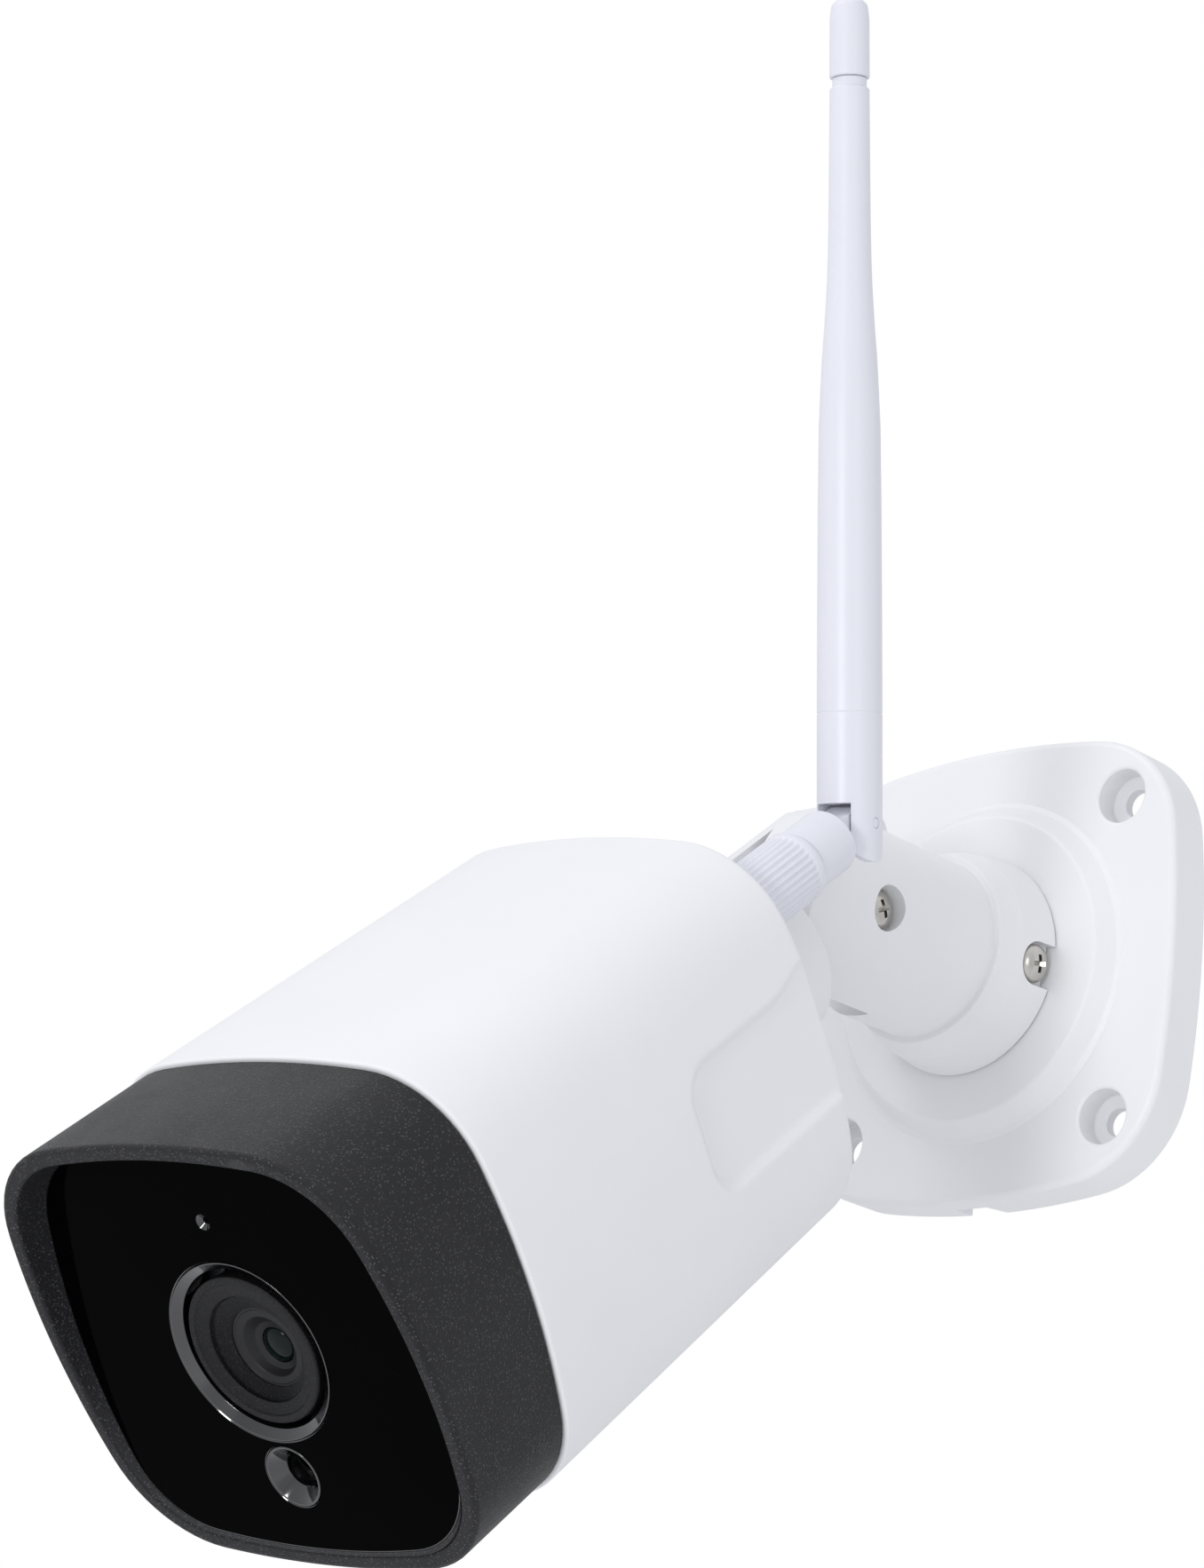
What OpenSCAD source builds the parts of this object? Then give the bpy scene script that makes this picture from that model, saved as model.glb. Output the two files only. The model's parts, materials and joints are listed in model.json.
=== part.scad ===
// Wall-mounted bullet security camera with a three-axis bracket and a folding antenna.
// Millimetres. The origin is the centre of the wall plate's back face, +Z is up and the
// camera looks out from the wall towards -Y.

/* [Wall plate] */
// Half the width and height of the square wall plate
plate_half = 36; // [34:0.5:40]
// Thickness of the wall plate
plate_t = 8; // [7:0.5:9]
// Distance between neighbouring mounting holes
hole_spacing = 50; // [46:1:50]
// Radius of a mounting hole
hole_r = 2.2; // [2:0.1:2.6]
// Radius of a mounting hole's counterbore
counterbore_r = 4.2; // [3.8:0.1:4.4]
// Width of the cable notch in the lower rim
notch_w = 7.5; // [6:0.5:9]

/* [Bracket] */
// Height of the raised round tier above the plate
tier_h = 3; // [2.5:0.5:3]
// Radius of the turning collar at its foot
collar_r = 17.2; // [17:0.1:18]
// Radius of the arm above the collar
arm_r = 13.8; // [13.4:0.1:14]
// Radius of the neck's flange
flange_r = 14.8; // [14:0.1:15]
// Height of the point where the arm and camera axes cross, above the plate
elbow_h = 39.6; // [39:0.1:42]

/* [Camera head] */
// Half the width of the housing at its front seam
head_half_w = 33; // [32:0.5:35]
// Half the height of the housing at its front seam
head_half_h = 31.6; // [31:0.2:34]
// Size of the housing's rear end as a share of its front end
rear_share = 0.955; // [0.94:0.005:0.97]
// Distance from the front glass back to the elbow crossing
glass_to_elbow = 131.2; // [130:0.2:136]
// Wall thickness of the housing
wall = 2.4; // [2:0.1:2.6]
// Radius of the lens opening in the front glass
lens_opening_r = 12.7; // [12.4:0.1:13]

/* [Antenna] */
// Sideways place of the antenna connector
ant_x = 21; // [20:0.5:21.5]
// Height of the antenna connector above the camera axis
ant_z = 17.6; // [17:0.2:18]
// Length of the mast from its hinge pin to its tip
mast_len = 117.5; // [110:0.5:130]

/* [Pose] */
// Downward pitch of the camera
pitch = 41.3; // [30:0.1:60]
// Roll of the camera about its own axis
roll = 6.5; // [-10:0.1:10]
// Angle of the mast away from the connector's axis
mast_angle = 63; // [45:1:80]

/* [Hidden] */
$fn = 64;
eps = 0.02;
plate_front = -plate_t;
elbow_y = plate_front - elbow_h;
seam_w = 17.8;            // front seam of the housing, behind the glass
rear_w = 88.2;            // rear rim of the housing
round_w = 2.4;            // depth of the rounded rear edge
bulge_x = 4.2;
bulge_z = 2.9;
corner_r = 16.2;
lip = 2.25;               // thickness of the bezel's front lip
lip_w = -2.8;             // lip plane at the camera axis
lip_rake = 5.4;           // degrees the lip plane leans
pivot_down = 2.3;         // tilt pin below the arm axis
pivot_in = 1.4;           // tilt pin inside the elbow crossing
knuckle_r = 16.2;
cable_r = 5.5;            // cable way through the arm
hollow_r = 7.4;           // hollow inside the two knuckle halves
hollow_x = 6;
boss_r = 3.6;
optics_down = 0.35;       // optics below the camera axis
led_down = 18.1;          // infrared LED below the camera axis
mic_up = 17.9;            // microphone hole above the camera axis
lap_gap = 0.3;            // half the gap between the two knuckle halves
flange_w = 112.9;         // rear face of the neck's flange
cover_w = 83.1;           // front face of the rear cover
boss_w = 90.4;            // rear face of the rear cover's boss
hinge_w = 118;            // hinge pin of the antenna
ring_w = 103.6;           // rear end of the knurled ring
ear = 5.4;                // length of the fork's ears beyond the pin
hub_r = 11.9;
lock_h = 6.3;             // height of the pan lock screw above the plate
scoop_w = 56.7;           // front end of the hollows in the flanks
scoop_d = 1.2;
notch_d = 4.2;            // how deep the cable notch cuts into the plate
main_w = 53;              // front face of the main board
chassis_w = 7.05;         // front face of the chassis plate
screw_r = 1.5;
head_r = 2.95;

// ---- helpers ----
module along_y(y0, y1, r1, r2 = undef) {
    translate([0, y0, 0])
        rotate([-90, 0, 0])
            cylinder(h = y1 - y0, r1 = r1, r2 = is_undef(r2) ? r1 : r2);
}

module tube_y(y0, y1, r_out, r_in) {
    difference() {
        along_y(y0, y1, r_out);
        along_y(y0 - 1, y1 + 1, r_in);
    }
}

module slab(y0, y1) {
    translate([0, y1, 0])
        rotate([90, 0, 0])
            linear_extrude(height = y1 - y0)
                children();
}

// A slab whose outline shrinks to k_front towards -Y
module taper(y0, y1, k_front) {
    translate([0, y1, 0])
        rotate([90, 0, 0])
            linear_extrude(height = y1 - y0, scale = k_front)
                children();
}

function arc(c, r, a0, a1, n) =
    [for (i = [0:n]) c + r * [cos(a0 + (a1 - a0) * i / n), sin(a0 + (a1 - a0) * i / n)]];

// One quarter of a square with bulging sides and round corners
function quarter(a, b, sx, sz, r) =
    let (ex = a - sx, ez = b - sz)
    let (rz = (ex * ex + sz * sz) / (2 * sz), rx = (ez * ez + sx * sx) / (2 * sx))
    let (c1 = [0, b - rz], c2 = [a - rx, 0])
    let (d = norm(c2 - c1), u = (c2 - c1) / d)
    let (h = (pow(rz - r, 2) - pow(rx - r, 2) + d * d) / (2 * d))
    let (k = sqrt(pow(rz - r, 2) - h * h))
    let (cc = c1 + u * h + [u[1], -u[0]] * k)
    let (a1 = atan2(cc[1] - c1[1], cc[0]), a2 = atan2(cc[1], cc[0] - c2[0]))
    concat(arc(c2, rx, 0, a2, 4), [for (p = arc(cc, r, a2, a1, 12)) p],
        arc(c1, rz, a1, 90, 4));

function tidy(q) = [for (i = [0:len(q) - 1]) if (i == 0 || norm(q[i] - q[i - 1]) > 0.001) q[i]];

module bulged(a, b, sx, sz, r) {
    q = tidy(quarter(a, b, sx, sz, r));
    n = len(q) - 1;
    polygon(concat(q,
        [for (i = [1:n]) [-q[n - i][0], q[n - i][1]]],
        [for (i = [1:n]) -q[i]],
        [for (i = [1:n - 1]) [q[n - i][0], -q[n - i][1]]]));
}

module plate_outline(inset = 0) {
    bulged(plate_half - inset, plate_half + 0.2 - inset, 3, 4, 17.4 - inset);
}

module section(k = 1, inset = 0) {
    bulged(head_half_w * k - inset, head_half_h * k - inset, bulge_x, bulge_z,
        corner_r * k - inset);
}

// Share of the front section's size at a distance w behind the glass
function share(w) = 1 - (1 - rear_share) * (w - seam_w) / (rear_w - seam_w);

// A tapered length of the housing's section
module body(w0, w1, inset = 0) {
    taper(w0, w1, (head_half_w * share(w0) - inset) / (head_half_w * share(w1) - inset))
        section(share(w1), inset);
}

// A straight ring with the housing's outline
module frame_ring(w0, w1, out_inset, in_inset, k = 1) {
    slab(w0, w1)
        difference() {
            section(k, out_inset);
            section(k, in_inset);
        }
}

// The camera head's frame: y is the distance behind the glass, z is up, x is to the side
module head() {
    translate([0, elbow_y, 0])
        rotate([pitch, 0, 0])
            rotate([0, roll, 0])
                translate([0, -glass_to_elbow, 0])
                    children();
}

// The optics' frame: the head's, moved down to the lens's axis
module optics() {
    head()
        translate([0, 0, -optics_down])
            children();
}

// The neck's frame: like the head's, but without its roll
module neck_frame() {
    translate([0, elbow_y, 0])
        rotate([pitch, 0, 0])
            translate([0, -glass_to_elbow, 0])
                children();
}

module at_pivot() {
    translate([0, elbow_y + pivot_in, -pivot_down])
        children();
}

module across_x(x0, x1, r) {
    translate([x0, 0, 0])
        rotate([0, 90, 0])
            cylinder(h = x1 - x0, r = r);
}

// A cross-recessed pan head pointing along +Z, standing on z = 0
module pan_head(r, h) {
    difference() {
        union() {
            cylinder(h = h * 0.5, r = r);
            translate([0, 0, h * 0.5])
                cylinder(h = h * 0.3, r1 = r, r2 = r * 0.86);
            translate([0, 0, h * 0.8])
                cylinder(h = h * 0.2, r1 = r * 0.86, r2 = r * 0.6);
        }
        for (a = [0, 90])
            rotate([0, 0, a])
                translate([-r * 0.62, -r * 0.11, h * 0.45])
                    cube([r * 1.24, r * 0.22, h]);
    }
}

module screw_y(x, z, w, length, r = 1.25, hr = 2.4, hh = 1.5) {
    translate([x, w, z])
        rotate([-90, 0, 0])
            pan_head(hr, hh);
    translate([x, 0, z])
        along_y(w - length, w + eps, r);
}

cover_screw_places = [[0, 24.2], [25.6, 0], [0, -24.2], [-25.6, 0]];
chassis_screw_places = [for (a = [45:90:315]) 28 * [cos(a), sin(a)]];
standoff_places = [for (a = [45:90:315]) 21.5 * [cos(a), sin(a)]];

// ---- wall plate and bracket ----
module base_plate() color([0.9, 0.9, 0.92]) {
    difference() {
        union() {
            slab(plate_front + 1, 0)
                plate_outline();
            taper(plate_front, plate_front + 1 + eps, (plate_half - 0.9) / plate_half)
                plate_outline();
            along_y(plate_front - tier_h, plate_front + eps, 24.1, 26.2);
            along_y(plate_front - 11, plate_front, hub_r);
        }
        // hollow back
        difference() {
            slab(-5, 1)
                plate_outline(2.6);
            for (x = [-1, 1], z = [-1, 1])
                translate([x * hole_spacing / 2, 0, z * hole_spacing / 2])
                    along_y(-6, 2, 6.2);
            along_y(-6, 2, 14);
            // ribs to three sides, the fourth is left open for the cable
            for (a = [0, 180, 270])
                rotate([0, a, 0])
                    translate([10, -6, -0.8])
                        cube([plate_half, 5, 1.6]);
        }
        for (x = [-1, 1], z = [-1, 1])
            translate([x * hole_spacing / 2, 0, z * hole_spacing / 2]) {
                along_y(-10, 2, hole_r);
                along_y(-10, plate_front + 5.4, counterbore_r);
            }
        // cable way through the hub, and the groove that the lock screw runs in
        along_y(-30, 5, 6.5);
        difference() {
            along_y(plate_front - lock_h - 1.75, plate_front - lock_h + 1.75, 13);
            along_y(plate_front - lock_h - 2, plate_front - lock_h + 2, 10.7);
        }
        // cable notch in the lower rim, sloping on one side
        translate([-0.4, 0, -plate_half - 2])
            linear_extrude(height = 5.5)
                polygon([[-notch_w / 2, 1], [-notch_w / 2, -notch_d],
                    [notch_w / 2 - 1.6, -notch_d], [notch_w / 2, -notch_d + 1.6],
                    [notch_w / 2, 1]]);
    }
}

// Hollow inside a knuckle half, round about the boss that the tilt screw runs in
module knuckle_hollow() {
    at_pivot()
        difference() {
            across_x(-hollow_x, hollow_x, hollow_r);
            across_x(-hollow_x - 1, hollow_x + 1, boss_r);
        }
}

module arm_half_right() {
    // beyond the crossing only the right half of the arm goes on, round about the pin
    intersection() {
        along_y(elbow_y - 20, elbow_y + eps, arm_r);
        translate([lap_gap, elbow_y - 25, -20])
            cube([20, 26, 40]);
        at_pivot()
            across_x(0, 20, knuckle_r);
    }
}

module lock_place() {
    rotate([0, 8, 0])
        translate([0, plate_front - lock_h, 0])
            rotate([0, 90, 0])
                children();
}

module pan_yoke() color([0.9, 0.9, 0.92]) {
    foot = plate_front - tier_h - 0.2;
    difference() {
        union() {
            along_y(plate_front - 10, foot, 16.3, collar_r);
            along_y(plate_front - 14, plate_front - 10 + eps, 14.8, 16.3);
            difference() {
                along_y(elbow_y, plate_front - 14 + eps, arm_r);
                at_pivot()
                    across_x(-20, lap_gap, knuckle_r + 0.4);
            }
            arm_half_right();
        }
        along_y(plate_front - 11.3, 0, hub_r + 0.05);
        along_y(elbow_y + 5.5, 0, cable_r);
        knuckle_hollow();
        // recess for the lock screw
        lock_place() {
            translate([0, 0, 15])
                cylinder(h = 6, r = 3.3);
            cylinder(h = 20, r = screw_r + 0.05);
        }
        // recess and hole for the tilt screw
        at_pivot() {
            across_x(10.6, 20, 3.35);
            across_x(-1, 20, screw_r + 0.08);
        }
    }
}

module pan_lock_screw() color("silver") lock_place() {
    translate([0, 0, 15.05])
        pan_head(head_r, 2.1);
    translate([0, 0, 11])
        cylinder(h = 4.1, r = screw_r);
}

module tilt_screw() color("silver") at_pivot() {
    translate([10.65, 0, 0])
        rotate([0, 90, 0])
            pan_head(head_r, 2.2);
    across_x(-11.4, 10.7, screw_r);
}

module tilt_neck() color([0.9, 0.9, 0.92]) {
    difference() {
        union() {
            neck_frame() {
                along_y(boss_w + 0.4, flange_w - 0.6, flange_r);
                along_y(flange_w - 0.6 - eps, flange_w, flange_r, flange_r - 0.6);
                along_y(76, boss_w + 1, 8.95);
                // left half of the knuckle
                difference() {
                    along_y(flange_w - 1, glass_to_elbow, 12.8);
                    translate([-lap_gap, flange_w, -20])
                        cube([40, 40, 40]);
                }
            }
            intersection() {
                neck_frame()
                    difference() {
                        along_y(glass_to_elbow - eps, glass_to_elbow + 20, 12.8);
                        translate([-lap_gap, flange_w, -20])
                            cube([40, 60, 40]);
                    }
                at_pivot()
                    across_x(-20, 0, knuckle_r);
            }
        }
        neck_frame()
            along_y(70, glass_to_elbow - 6, cable_r);
        knuckle_hollow();
        at_pivot() {
            across_x(-20, 1, screw_r + 0.05);
            translate([-20, 0, 0])
                rotate([0, 90, 0])
                    cylinder(h = 11.2, r = 3.3, $fn = 6);
        }
    }
}

module tilt_washer() color("dimgray") at_pivot()
    difference() {
        across_x(-0.25, 0.25, boss_r);
        across_x(-1, 1, screw_r + 0.3);
    }

module tilt_nut() color("silver") at_pivot()
    difference() {
        translate([-11.3, 0, 0])
            rotate([0, 90, 0])
                cylinder(h = 2.4, r = 3.1, $fn = 6);
        across_x(-12, -8, screw_r);
    }

module neck_nut() color("silver") neck_frame()
    difference() {
        along_y(78.4, 81.3, 12);
        along_y(70, 90, 9);
        for (a = [0:60:300])
            rotate([0, a, 0])
                translate([-1, 78, 10.8])
                    cube([2, 4, 3]);
    }

module neck_washer() color("gray") head()
    tube_y(81.55, cover_w - 0.05, 12.6, 9.3);

module neck_seal() color([0.1, 0.1, 0.1]) head()
    translate([0, boss_w - 0.43, 0])
        rotate([90, 0, 0])
            rotate_extrude()
                translate([11.5, 0])
                    circle(r = 0.55);

// ---- rear cover ----
module rear_cover() color([0.9, 0.9, 0.92]) head()
    difference() {
        union() {
            slab(cover_w, cover_w + 2.5)
                section(share(85), wall + 0.35);
            along_y(cover_w + 1, boss_w, 16.5);
        }
        along_y(70, 100, 9.02);
        translate([0, boss_w - 1, 0])
            tube_y(0, 2, 12.1, 10.9);
        translate([ant_x, 0, ant_z])
            along_y(70, 100, 3.25);
        for (p = cover_screw_places)
            translate([p[0], 0, p[1]]) {
                along_y(70, 100, 1.5);
                along_y(cover_w + 1.2, 100, 2.7);
            }
    }

module rear_cover_seal() color([0.1, 0.1, 0.1]) head()
    frame_ring(82.25, cover_w - 0.02, 3, 4.1, share(83));

module rear_cover_screws() color("silver") head()
    for (p = cover_screw_places)
        screw_y(p[0], p[1], cover_w + 1.25, 9);

// ---- housing ----
// Shallow hollow in the right flank, round in front and open at the rear
module scoop() {
    half = 9.2;
    round_r = 5.5;
    lean = atan(head_half_w * (1 - rear_share) / (rear_w - seam_w));
    translate([head_half_w * share(scoop_w) - scoop_d, scoop_w, 0])
        rotate([0, 0, lean])
            rotate([0, 90, 0])
                linear_extrude(height = 6) {
                    for (z = [-1, 1])
                        translate([z * (half - round_r), round_r])
                            circle(r = round_r);
                    translate([-half, round_r])
                        square([2 * half, 40]);
                    translate([-half + round_r, 0])
                        square([2 * (half - round_r), 10]);
                }
}

module housing_outside() {
    body(seam_w, rear_w - round_w);
    steps = 3;
    for (i = [0:steps - 1]) {
        a0 = 90 * i / steps;
        a1 = 90 * (i + 1) / steps;
        w0 = rear_w - round_w + round_w * sin(a0) - eps;
        w1 = rear_w - round_w + round_w * sin(a1);
        in0 = round_w * (1 - cos(a0));
        in1 = round_w * (1 - cos(a1));
        k = share(rear_w - round_w);
        taper(w0, w1, (head_half_w * k - in0) / (head_half_w * k - in1))
            section(k, in1);
    }
}

module card_window(grow = 0) {
    translate([-11 - grow, 50 - grow, -50])
        cube([22 + 2 * grow, 28 + 2 * grow, 30]);
}

module housing_shell() color([0.91, 0.91, 0.93]) head()
    difference() {
        union() {
            difference() {
                housing_outside();
                body(seam_w - 1, 81, wall);
                body(80.9, 82.2, 4.3);
                body(82.2 - eps, 90, wall + 0.2);
            }
            // front ledge behind the bezel seal
            frame_ring(24, 25.5, 1.4, 4.6, share(25));
            // bosses for the rear cover's screws
            intersection() {
                union()
                    for (p = cover_screw_places)
                        translate([p[0], 0, p[1]])
                            along_y(72, 82.2, 3.2);
                body(60, 84, 1);
            }
            // seat of the card cover
            translate([-13, 48, -head_half_h * share(64) + 2])
                cube([26, 32, 3]);
        }
        for (p = cover_screw_places)
            translate([p[0], 0, p[1]])
                along_y(70, 90, 1.3);
        // room in the ledge for the antenna connector
        translate([ant_x, 0, ant_z])
            along_y(78, 83, 4.8);
        scoop();
        mirror([1, 0, 0])
            scoop();
        // window, recess and screw holes of the card cover
        translate([-8.5, 54.5, -50])
            cube([17, 19, 40]);
        intersection() {
            card_window();
            translate([0, 0, -50 - head_half_h * share(64) + 2.5])
                translate([-40, 0, 0])
                    cube([80, 120, 50]);
        }
        for (w = [52.2, 75.8])
            translate([0, w, -40])
                cylinder(h = 20, r = 1.1);
    }

module front_bezel() color([0.23, 0.23, 0.25]) head()
    difference() {
        union() {
            intersection() {
                taper(-12, seam_w - 0.15, 1.014)
                    section(1, 0.5);
                translate([0, lip_w, 0])
                    rotate([lip_rake, 0, 0])
                        translate([-60, 0, -60])
                            cube([120, 60, 120]);
            }
            frame_ring(seam_w - 1, 22.5, wall + 0.2, wall + 2.2);
        }
        slab(-20, 2)
            section(1, lip);
        slab(1, 4.2)
            section(1, 4.6);
        difference() {
            slab(4.2 - eps, 30)
                section(1, wall + 2.2);
            // corner bosses that the chassis plate is screwed to
            for (p = chassis_screw_places)
                translate([p[0], 0, p[1]])
                    rotate([0, -atan2(p[1], p[0]), 0]) {
                        along_y(3, chassis_w - 0.02, 2.6);
                        translate([0, 3, -2.6])
                            cube([10, chassis_w - 3.02, 5.2]);
                    }
        }
        for (p = chassis_screw_places)
            translate([p[0], 0, p[1]])
                along_y(4, 20, 0.95);
    }

module bezel_seal() color([0.1, 0.1, 0.1]) head()
    frame_ring(22.6, 23.95, wall + 0.3, wall + 1.9);

// ---- front glass and optics ----
module front_glass() color([0.02, 0.02, 0.02]) head()
    difference() {
        slab(0, 1.5)
            section(1, lip + 0.2);
        translate([0, 0, -optics_down])
            along_y(-1, 3, lens_opening_r);
        translate([0, 0, -led_down])
            along_y(-1, 3, 4.4);
        translate([0, 0, mic_up]) {
            along_y(-1, 3, 0.5);
            along_y(-eps, 0.6, 1.1, 0.5);
        }
    }

module glass_seal() color([0.1, 0.1, 0.1]) head()
    frame_ring(1.52, 1.98, lip + 0.3, lip + 2.2);

module lens_trim_ring() color([0.03, 0.03, 0.03]) optics()
    difference() {
        along_y(0, 3.4, lens_opening_r - 0.1);
        along_y(-eps, 0.9, 12.5, 11.3);
        along_y(0.8, 4, 11.3);
    }

module lens_shroud() color([0.2, 0.2, 0.22]) optics()
    difference() {
        along_y(0.6, 9, 10.4);
        along_y(0.5, 1.4, 9.3, 8.4);
        along_y(1.3, 3.2, 7.8);
        along_y(3.1, 4.6, 7.3);
        along_y(4, 10, 6.9);
    }

module lens_barrel() color([0.08, 0.08, 0.09]) optics()
    difference() {
        along_y(3.6, 19.5, 6.8);
        along_y(3.5, 4.9, 5.6, 5.1);
        along_y(4.8, 20, 4.2);
    }

module lens_front_element() color([0.3, 0.5, 0.6, 0.5]) optics()
    intersection() {
        translate([0, 10.9, 0])
            sphere(r = 6);
        along_y(4.9, 7.4, 4.1);
    }

module lens_inner_elements() color([0.3, 0.4, 0.6, 0.5]) optics() {
    along_y(9, 10.6, 4.1);
    along_y(12, 13.8, 4.1);
    along_y(16, 17.4, 4.1);
}

module lens_holder() color([0.1, 0.1, 0.1]) optics()
    difference() {
        union() {
            along_y(13, 22, 8.6);
            slab(21.9, 23)
                square([20, 18], center = true);
        }
        along_y(12, 24, 6.85);
    }

module ir_cut_frame() color([0.15, 0.15, 0.16]) optics()
    difference() {
        slab(23.1, 27)
            translate([-8.5, -9])
                square([26, 18]);
        // opening for the light and the slot that the filter slides in
        along_y(22, 28, 4.2);
        slab(24, 26)
            translate([-5.2, -4.5])
                square([20.2, 9]);
    }

module ir_cut_filter() color([0.3, 0.6, 0.65, 0.6]) optics()
    slab(24.4, 25.6)
        square([9.8, 8.4], center = true);

module image_sensor() color([0.15, 0.2, 0.2]) optics()
    slab(27.1, 28.5)
        square([9.5, 8], center = true);

module sensor_board() color([0.05, 0.3, 0.15]) head()
    difference() {
        slab(28.55, 30.15)
            square([38, 38], center = true);
        for (p = standoff_places)
            translate([p[0], 0, p[1]])
                along_y(28, 31, 1.3);
    }

module infrared_led() color([0.25, 0.2, 0.2]) head()
    translate([0, 0, -led_down]) {
        slab(4.6, 5.9)
            square([3.4, 3.4], center = true);
        intersection() {
            translate([0, 5.3, 0])
                sphere(r = 1.6);
            along_y(3, 4.7, 3);
        }
    }

module led_bezel() color([0.05, 0.05, 0.05]) head()
    translate([0, 0, -led_down])
        difference() {
            along_y(0, 4.4, 4.3);
            along_y(-eps, 2.2, 3.9, 2.5);
            along_y(1, 5, 2.5);
        }

module led_board() color([0.05, 0.3, 0.15]) head()
    translate([0, 0, -led_down])
        slab(5.95, 7)
            square([16, 9], center = true);

module chassis_screws() color("silver") head()
    for (p = chassis_screw_places)
        screw_y(p[0], p[1], chassis_w + 1.55, 4.4, 0.9, 1.7, 1.1);

module chassis_plate() color("silver") head()
    difference() {
        slab(chassis_w, chassis_w + 1.5)
            section(1, 5);
        translate([0, 0, -optics_down])
            along_y(5, 12, 10.45);
        for (p = chassis_screw_places)
            translate([p[0], 0, p[1]])
                along_y(5, 12, 0.95);
    }

module microphone() color("silver") head()
    translate([0, 0, mic_up])
        tube_y(1.55, 4.6, 3, 0.4);

module board_standoffs() color("silver") head()
    for (p = standoff_places)
        translate([p[0], 0, p[1]]) {
            along_y(chassis_w + 1.52, 28.53, 2);
            along_y(28.5, 30.2, 1.2);
            along_y(30.17, main_w - 0.02, 2);
            along_y(main_w - 0.1, main_w + 2.2, 1.2);
        }

module main_board() color([0.05, 0.3, 0.15]) head()
    difference() {
        slab(main_w, main_w + 1.6) {
            square([44, 40], center = true);
            translate([-12, -24])
                square([24, 5]);
        }
        for (p = standoff_places)
            translate([p[0], 0, p[1]])
                along_y(main_w - 1, main_w + 3, 1.3);
    }

module heat_spreader() color("silver") head()
    translate([-5, main_w + 1.65, 3]) {
        slab(0, 1.8)
            square([18, 18], center = true);
        for (i = [-3:3])
            translate([i * 2.8 - 0.5, 1.7, -9])
                cube([1, 6, 18]);
    }

module wifi_module() color([0.1, 0.25, 0.3]) head()
    translate([14.5, main_w + 1.62, 3])
        slab(0, 2.2)
            square([12, 16], center = true);

// Thin coaxial lead from the wireless module up to the antenna connector
module antenna_lead() color([0.1, 0.1, 0.1]) head() {
    a = [16, main_w + 4.6, 8];
    b = [ant_x, 79.2, ant_z];
    d = b - a;
    translate(a)
        rotate([0, acos(d[2] / norm(d)), atan2(d[1], d[0])])
            cylinder(h = norm(d), r = 0.6);
    translate([a[0], main_w + 3.84, a[2]])
        along_y(0, 1.2, 1.3);
}

module card_slot() color("silver") head()
    translate([-10.5, main_w + 1.62, -23.8])
        difference() {
            cube([14.2, 1.9, 15]);
            translate([1.4, 0.5, -1])
                cube([11.2, 0.9, 14]);
        }

module reset_switch() color([0.15, 0.15, 0.15]) head()
    difference() {
        translate([5, main_w + 1.62, -23.6])
            cube([6, 3.4, 4]);
        translate([8, main_w + 3.3, -25])
            cylinder(h = 4, r = 1.25);
    }

module reset_button() color([0.1, 0.1, 0.1]) head()
    translate([8, main_w + 3.3, -25])
        cylinder(h = 3.4, r = 1.2);

module card_cover() color([0.9, 0.9, 0.92]) head()
    difference() {
        intersection() {
            body(40, 82);
            translate([-10.85, 50.15, -50])
                cube([21.7, 27.7, 50 - head_half_h * share(64) + 2.1]);
        }
        for (w = [52.2, 75.8])
            translate([0, w, -40]) {
                cylinder(h = 20, r = 1.3);
                cylinder(h = 40 - head_half_h * share(w) + 1.3, r = 2.2);
            }
    }

module card_cover_seal() color([0.1, 0.1, 0.1]) head()
    translate([0, 64, -head_half_h * share(64) + 2.12])
        difference() {
            translate([-10.3, -10.6, 0])
                cube([20.6, 21.2, 0.36]);
            translate([-8.6, -9.4, -1])
                cube([17.2, 18.8, 3]);
        }

module card_cover_screws() color("silver") head()
    for (w = [52.2, 75.8])
        translate([0, w, -head_half_h * share(w) + 1.27]) {
            rotate([180, 0, 0])
                pan_head(1.9, 1);
            translate([0, 0, -eps])
                cylinder(h = 3.2, r = 1);
        }

// ---- antenna ----
module at_antenna() {
    head()
        translate([ant_x, 0, ant_z])
            children();
}

module antenna_connector() color([0.8, 0.65, 0.3]) at_antenna()
    difference() {
        union() {
            // hexagon and round shoulder inside the housing, clear of the cover's seal
            translate([0, 79.5, 0])
                rotate([-90, 0, 0])
                    cylinder(h = 2.6, r = 4.4, $fn = 6);
            along_y(82, cover_w - 0.05, 3.5);
            along_y(83, 96, 3.1);
        }
        along_y(88, 97, 2.2);
    }

module connector_washer() color("silver") at_antenna()
    tube_y(cover_w + 2.53, cover_w + 3, 4.9, 3.2);

module connector_nut() color([0.8, 0.65, 0.3]) at_antenna()
    difference() {
        translate([0, cover_w + 3.02, 0])
            rotate([-90, 0, 0])
                cylinder(h = 2, r = 4.6, $fn = 6);
        along_y(80, 91, 3.12);
    }

module antenna_ring() color([0.92, 0.92, 0.93]) at_antenna()
    difference() {
        union() {
            along_y(88.6, ring_w, 5);
            ribs = 36;
            for (i = [0:ribs - 1])
                rotate([0, 360 * i / ribs, 0])
                    translate([-0.2, 89, 4.6])
                        cube([0.4, 12.6, 0.7]);
            along_y(102.2, ring_w, 5.25);
        }
        along_y(88, 97.4, 3.15);
        along_y(97, 105, 2.56);
    }

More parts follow.
